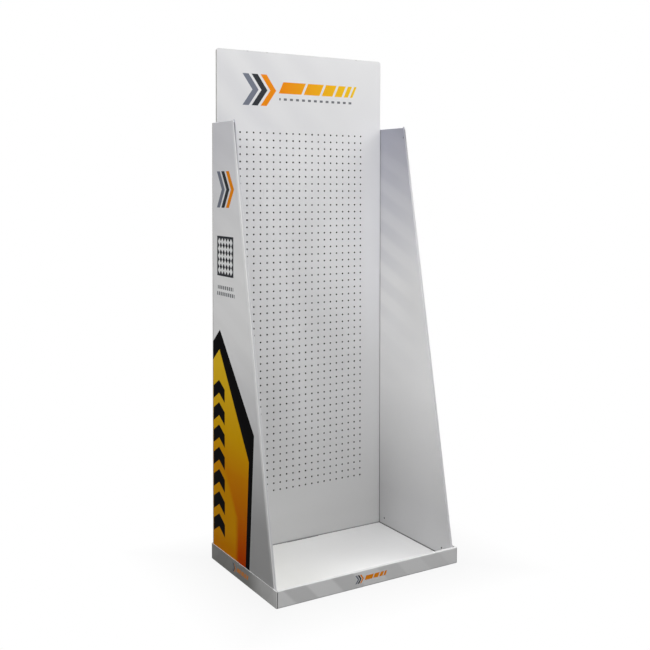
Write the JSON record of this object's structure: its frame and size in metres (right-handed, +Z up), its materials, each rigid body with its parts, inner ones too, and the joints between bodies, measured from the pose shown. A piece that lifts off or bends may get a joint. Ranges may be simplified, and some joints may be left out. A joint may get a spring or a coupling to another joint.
{
  "type": "cardboard display stand",
  "caption": "Floor display stand of corrugated card: two leaning-front side walls and a perforated hook panel with a header, standing in a low tray",
  "frame": {"origin": "On the floor, under the middle of the tray's rectangle", "axes": "+X to the stand's right as a shopper faces it, +Y to its back, +Z up"},
  "size_m": [0.671, 0.5, 1.728],
  "materials": {
    "base_tray": "matt coated print on corrugated card",
    "floor_insert": "matt coated print on corrugated card",
    "side_wall_left": "matt coated print on corrugated card",
    "side_wall_right": "matt coated print on corrugated card",
    "hook_sheet": "matt coated print on corrugated card",
    "panel_backing": "matt coated print on corrugated card",
    "rear_board": "plain corrugated card"
  },
  "bodies": {
    "root": {"base_tray": "base_tray", "floor_insert": "floor_insert", "side_wall_left": "side_wall_left", "side_wall_right": "side_wall_right", "hook_sheet": "hook_sheet", "panel_backing": "panel_backing", "rear_board": "rear_board"}
  },
  "joints": []
}
